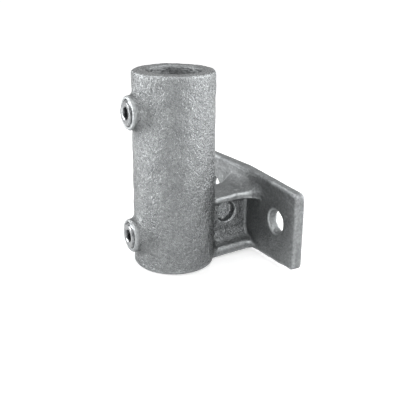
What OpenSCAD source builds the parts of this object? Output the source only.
// Tube clamp with a side flange, for fixing an upright tube to a wall.
// One iron casting and two hexagon socket set screws. Millimetres, +Z up.
// The origin is on the sleeve's axis, level with the fixing holes.
// The screws point along -Y, and the flange's wall face looks along +Y.
// Heights in the modules are over the sleeve's lower end, and to_origin() moves the pieces down.

/* [Sleeve] */
// Outside diameter of the tube that the sleeve takes
tube_d = 26.9; // [25:0.1:30]
// Gap between the tube and the bore, all round
tube_gap = 0.45; // [0.2:0.05:0.5]
// Wall of the sleeve
sleeve_wall = 7.1; // [6:0.1:9]
// Length of the sleeve
sleeve_h = 102; // [94:1:125]
// Rounding of the sleeve's outer end edges
sleeve_rim_r = 2.4; // [1:0.1:3]
// Rounding of the bore's two mouths
mouth_r = 1; // [0.4:0.1:1.6]

/* [Screw bosses] */
// Height of the lower screw over the sleeve's lower end
screw_low_inset = 18.5; // [15:0.5:24]
// Depth of the upper screw below the sleeve's upper end
screw_high_inset = 19.5; // [15:0.5:24]
// Diameter of a boss at its face
boss_d = 17; // [16:0.25:20]
// How far a boss stands out of the sleeve
boss_reach = 4.6; // [3:0.1:6]
// Rounding of a boss's face edge
boss_rim_r = 1; // [0.4:0.1:1.4]
// Fillet where a boss meets the sleeve
boss_foot_r = 2.8; // [1.5:0.1:3]
// Countersink at the mouth of a threaded hole
hole_sink = 0.6; // [0.2:0.1:0.9]

/* [Set screws] */
// Outside diameter of the screw thread
thread_d = 13.16; // [12:0.02:14]
// Gap between the screw and its hole, all round, where the threads would mesh
thread_gap = 0.1; // [0.05:0.01:0.2]
// Length of a set screw
screw_l = 9.6; // [8:0.1:10]
// How far a screw's outer end stands out of the boss's face
screw_proud = 0.8; // [0:0.1:2]
// Bevel on both ends of a screw
screw_bevel = 0.9; // [0.4:0.1:1.2]
// Width across the flats of the hexagon socket
key_af = 6; // [5:0.5:8]
// Depth of the hexagon socket
key_depth = 5; // [4.5:0.1:6]
// Diameter of the cup at the screw's point
cup_d = 8.4; // [6:0.1:9]
// Depth of the cup
cup_depth = 1.6; // [0.8:0.1:2]

/* [Flange plate] */
// Length of the plate
plate_l = 98; // [88:1:120]
// Height of the plate at its middle
plate_h = 44.5; // [42:0.5:54]
// Height of the plate's lower edge over the sleeve's lower end
plate_z = 1.7; // [1:0.1:6]
// Thickness of the plate
plate_t = 5.3; // [4:0.1:9]
// Slope of the plate's upper and lower edges, which leaves its ends narrower
edge_slope = 2.2; // [0:0.1:4]
// Rounding of the plate's corners
plate_corner_r = 3; // [1.5:0.5:6]
// Rounding of the plate's edges on the side of the sleeve
plate_edge_r = 1.2; // [0.4:0.1:1.8]
// Diameter of the two fixing holes
hole_d = 14; // [9:0.5:18]
// Distance between the two fixing holes
hole_spacing = 64; // [56:1:70]
// Height of the fixing holes over the plate's lower edge
hole_rise = 23.3; // [18:0.1:26]

/* [Neck] */
// Distance from the sleeve's outside to the plate
neck_l = 21.7; // [18:0.1:30]
// Width of the neck's two ribs
neck_w = 21; // [18:0.5:24]
// Height of the upper rib's crest over the plate's lower edge
neck_h = 35.2; // [33:0.1:37]
// How much the neck rises from the sleeve to the plate
neck_rise = 1.4; // [0:0.1:2]
// Slope of the upper rib's top away from its crest
crest_slope = 6; // [2:0.5:8]
// Fillet between the upper rib's top and the plate or the sleeve
shelf_fillet_r = 5; // [2:0.5:6]
// Fillet between the ribs' sides and the sleeve
root_fillet_r = 2; // [1:0.5:3]
// How far the upper rib's ends spread along the plate
flare_r = 6.5; // [3:0.5:8]
// How far the lower rib's ends spread along the plate
foot_flare_r = 1.5; // [1:0.5:3]
// Thickness of the web between the ribs
web_t = 7; // [6:0.5:9]
// Thickness of the lower rib at the plate
low_rib_t = 5.1; // [3:0.1:6]
// Thickness of the upper rib at its edge
high_rib_t = 3.2; // [2.5:0.1:5]
// How far each pocket closes in at its foot, at the web
pocket_foot_in = 4.6; // [2:0.1:6]
// How far each pocket closes in at its head, at the web
pocket_head_in = 2.6; // [1:0.1:4]
// Rounding of the pockets' corners
pocket_r = 3; // [1.5:0.5:4]

/* [Web recess] */
// Diameter of the round blind recess in the web
recess_d = 11.2; // [8:0.1:13]
// Depth of the recess
recess_depth = 4.4; // [2:0.1:5]
// Distance from the recess's centre to the plate
recess_from_plate = 12.9; // [9:0.1:14]
// Height of the recess's centre over the plate's lower edge
recess_rise = 21.8; // [19:0.1:23]

/* [Hidden] */

round_fn = 96;
fillet_fn = 40;
// How far a cutting shape runs past the face that it cuts
over = 1;
// How deep a joining shape is buried in the piece that it joins
bury = 2;
// Thickness of the layers that a hull is stretched over
skin = 0.01;
// Where a pocket's side turns, as a part of its corner rounding out from the web
pocket_turn = 0.6;
// How much of a pocket's closing in is left where its side turns
pocket_ease = 0.45;
// How far the lowest point of a boss's full foot fillet would sink into the sleeve
foot_sink = 0.9;
// How far a boss's foot fillet turns before it runs straight into the sleeve
foot_turn = 35;
// How far the neck's fillets at the sleeve sink into it
ring_sink = 0.3;

bore_r = tube_d / 2 + tube_gap;
sleeve_r = bore_r + sleeve_wall;
boss_face = sleeve_r + boss_reach;
screw_high_z = sleeve_h - screw_high_inset;
screw_hole_r = thread_d / 2 + thread_gap;
plate_face = sleeve_r + neck_l;
wall_face = plate_face + plate_t;
root_y = sleeve_r - 2 * bury;
plate_top = plate_z + plate_h;
edge_drop = plate_l / 2 * tan(edge_slope);
hole_z = plate_z + hole_rise;
crest_z = plate_z + neck_h;
rib_edge_z = crest_z - neck_w / 2 * tan(crest_slope);
pocket_low = plate_z + low_rib_t;
pocket_high = rib_edge_z - high_rib_t;
socket_r = key_af / 2 / cos(30);

zinc = [0.66, 0.67, 0.68];
dark_zinc = [0.42, 0.43, 0.45];

// Brings the level of the fixing holes down to the origin
module to_origin() {
    translate([0, 0, -hole_z]) children();
}

// The points of an arc of radius r about (x, y), from angle a0 to a1
function arc(x, y, r, a0, a1, n = 10) =
    [for (i = [0 : n]) let (a = a0 + (a1 - a0) * i / n) [x + r * cos(a), y + r * sin(a)]];

// Fills the inner corners of a flat shape with fillets of radius r
module filled(r) {
    offset(r = -r, $fn = fillet_fn) offset(delta = r) children();
}

// The sleeve's wall in section, turned about the axis: rounded at both ends, outside and in
module sleeve() {
    rim = sleeve_rim_r;
    rotate_extrude($fn = round_fn) polygon(concat(
        arc(sleeve_r - rim, rim, rim, -90, 0),
        arc(sleeve_r - rim, sleeve_h - rim, rim, 0, 90),
        arc(bore_r + mouth_r, sleeve_h - mouth_r, mouth_r, 90, 180),
        arc(bore_r + mouth_r, mouth_r, mouth_r, 180, 270)));
}

// Turns a shape made along +Z so that it points out of the sleeve along -Y, at height z
module facing_out(z) {
    translate([0, 0, z]) rotate([90, 0, 0]) children();
}

// A boss: a short round stub with a rounded face edge, and a foot that flares and then runs straight
// into the sleeve's wall
module boss(z) {
    r = boss_d / 2;
    foot_top = sleeve_r + boss_foot_r - foot_sink;
    foot = arc(r + boss_foot_r, foot_top, boss_foot_r, 180 + foot_turn, 180);
    buried = bore_r + bury;
    facing_out(z) rotate_extrude($fn = round_fn) polygon(concat(
        [[0, buried], [foot[0].x + (foot[0].y - buried) * tan(foot_turn), buried]],
        foot,
        arc(r - boss_rim_r, boss_face - boss_rim_r, boss_rim_r, 0, 90),
        [[0, boss_face]]));
}

// The hole that a set screw turns in, with a countersunk mouth
module screw_hole(z) {
    facing_out(z) rotate_extrude($fn = round_fn) polygon([
        [0, 0],
        [screw_hole_r, 0],
        [screw_hole_r, boss_face - hole_sink],
        [screw_hole_r + hole_sink + over, boss_face + over],
        [0, boss_face + over]]);
}

// The plate seen from the sleeve: its upper and lower edges fall away from the middle
module plate_outline() {
    x = plate_l / 2;
    offset(r = plate_corner_r, $fn = fillet_fn) offset(delta = -plate_corner_r) polygon([
        [-x, plate_z + edge_drop], [0, plate_z], [x, plate_z + edge_drop],
        [x, plate_top - edge_drop], [0, plate_top], [-x, plate_top - edge_drop]]);
}

// Stands a flat XY shape up against the wall face and gives it a thickness towards the sleeve
module off_the_wall(t) {
    translate([0, wall_face, 0]) rotate([90, 0, 0]) linear_extrude(t) children();
}

// The plate with its rounded front edge, built up as three steps inside one hull
module plate() {
    hull()
        for (a = [0, 45, 90])
            off_the_wall(plate_t - plate_edge_r * (1 - sin(a)))
                offset(delta = -plate_edge_r * (1 - cos(a))) plate_outline();
}

module fixing_holes() {
    for (side = [-1, 1])
        translate([side * hole_spacing / 2, 0, hole_z]) rotate([-90, 0, 0])
            translate([0, 0, plate_face - over])
                cylinder(r = hole_d / 2, h = plate_t + 2 * over, $fn = round_fn);
}

// How far the neck lies below its level at the plate, at a distance y from the sleeve's axis
function sag(y) = neck_rise * (plate_face - y) / neck_l;

// The neck from above, between two heights: the ribs' width, with fillets at the plate
module neck_plan(low, high, flare) {
    reach = neck_w / 2 + flare;
    translate([0, 0, low]) linear_extrude(high - low) intersection() {
        filled(flare) union() {
            translate([-neck_w / 2, 0]) square([neck_w, plate_face + bury]);
            translate([-plate_l / 2, plate_face]) square([plate_l, bury]);
        }
        translate([-reach, root_y]) square([2 * reach, plate_face + bury - root_y]);
    }
}

// The fillets between the neck's sides and the sleeve, from above
module root_plan(low, high) {
    translate([0, 0, low]) linear_extrude(high - low) intersection() {
        filled(root_fillet_r) union() {
            circle(r = sleeve_r - ring_sink, $fn = round_fn);
            translate([-neck_w / 2, 0]) square([neck_w, plate_face]);
        }
        translate([-sleeve_r, root_y]) square([2 * sleeve_r, plate_face - root_y]);
    }
}

// The neck from the side: its top climbs to the plate and sweeps up into it
module neck_side() {
    filled(shelf_fillet_r) union() {
        polygon([[0, -neck_w], [wall_face, -neck_w], [wall_face, crest_z], [plate_face, crest_z],
            [0, crest_z - sag(0)]]);
        translate([plate_face, plate_z]) square([bury, neck_h + shelf_fillet_r]);
    }
}

// The fillet between the upper rib's top and the sleeve, as a ring round the sleeve
module shelf_ring() {
    r = shelf_fillet_r;
    base = crest_z - neck_rise;
    rotate_extrude($fn = round_fn) polygon(concat(
        [[bore_r + bury, -neck_w], [sleeve_r + r, -neck_w]],
        arc(sleeve_r + r - ring_sink, base + r, r, 270, 180),
        [[bore_r + bury, base + r]]));
}

// The neck's side shape laid across it and tipped over by an angle, as one slope of its top
module one_slope(angle) {
    reach = neck_w / 2 + flare_r + over;
    translate([0, 0, crest_z]) rotate([0, angle, 0]) translate([0, 0, -crest_z]) {
        translate([-reach, 0, 0]) rotate([90, 0, 90]) linear_extrude(2 * reach) neck_side();
        shelf_ring();
    }
}

// Everything under both slopes of the neck's top
module under_the_crest() {
    intersection() {
        one_slope(crest_slope);
        one_slope(-crest_slope);
    }
}

// Everything over one slope of the neck's underside
module over_one_foot(angle) {
    translate([0, plate_face, plate_z]) rotate([atan(neck_rise / neck_l), angle, 0])
        translate([-plate_l / 2, -wall_face, 0]) cube([plate_l, 2 * wall_face, sleeve_h]);
}

// One layer of a pocket, a rounded four-sided shape in YZ at a distance x from the middle
module pocket_layer(x, foot_in, head_in, t) {
    low = pocket_low + foot_in;
    high = pocket_high - head_in;
    start = root_y;
    translate([x, 0, 0]) rotate([90, 0, 90]) linear_extrude(t)
        offset(r = pocket_r, $fn = fillet_fn) offset(delta = -pocket_r) polygon([
            [start, low - sag(start)], [plate_face, low], [plate_face, high], [start, high - sag(start)]]);
}

// A pocket in one hull: flat at the web, a rounded step out from it, and straight beyond its mouth
module pocket() {
    hull() {
        pocket_layer(web_t / 2, pocket_foot_in, pocket_head_in, skin);
        pocket_layer(web_t / 2 + pocket_turn * pocket_r,
            pocket_ease * pocket_foot_in, pocket_ease * pocket_head_in, skin);
        pocket_layer(neck_w / 2, 0, 0, flare_r + over);
    }
}

// The neck: upper and lower rib, with a web between two open pockets
module neck() {
    middle = (pocket_low + pocket_high) / 2;
    difference() {
        intersection() {
            union() {
                neck_plan(0, middle, foot_flare_r);
                neck_plan(middle, plate_top, flare_r);
                root_plan(0, plate_top);
            }
            under_the_crest();
            over_one_foot(edge_slope);
            over_one_foot(-edge_slope);
        }
        for (side = [0, 1])
            mirror([side, 0, 0]) pocket();
    }
}

// The round blind recess in the web, on the side of +X only
module web_recess() {
    floor_x = web_t / 2 - recess_depth;
    translate([floor_x, plate_face - recess_from_plate, plate_z + recess_rise]) rotate([0, 90, 0])
        cylinder(r = recess_d / 2, h = recess_depth + over, $fn = round_fn);
}

module clamp_body() {
    color(zinc) to_origin() difference() {
        union() {
            sleeve();
            boss(screw_low_inset);
            boss(screw_high_z);
            neck();
            plate();
        }
        translate([0, 0, -over]) cylinder(r = bore_r, h = sleeve_h + 2 * over, $fn = round_fn);
        screw_hole(screw_low_inset);
        screw_hole(screw_high_z);
        fixing_holes();
        web_recess();
    }
}

// A set screw at height z: bevelled ends, a hexagon socket outside and a cup point inside
module set_screw(z) {
    r = thread_d / 2;
    outer = boss_face + screw_proud;
    inner = outer - screw_l;
    facing_out(z) difference() {
        rotate_extrude($fn = round_fn) polygon([
            [0, inner + cup_depth], [cup_d / 2, inner], [r - screw_bevel, inner], [r, inner + screw_bevel],
            [r, outer - screw_bevel], [r - screw_bevel, outer], [0, outer]]);
        translate([0, 0, outer - key_depth]) rotate(30)
            cylinder(r = socket_r, h = key_depth + over, $fn = 6);
    }
}

// Two identical screws, one in each boss
module set_screws() {
    color(dark_zinc) to_origin() {
        set_screw(screw_low_inset);
        set_screw(screw_high_z);
    }
}

clamp_body();
set_screws();
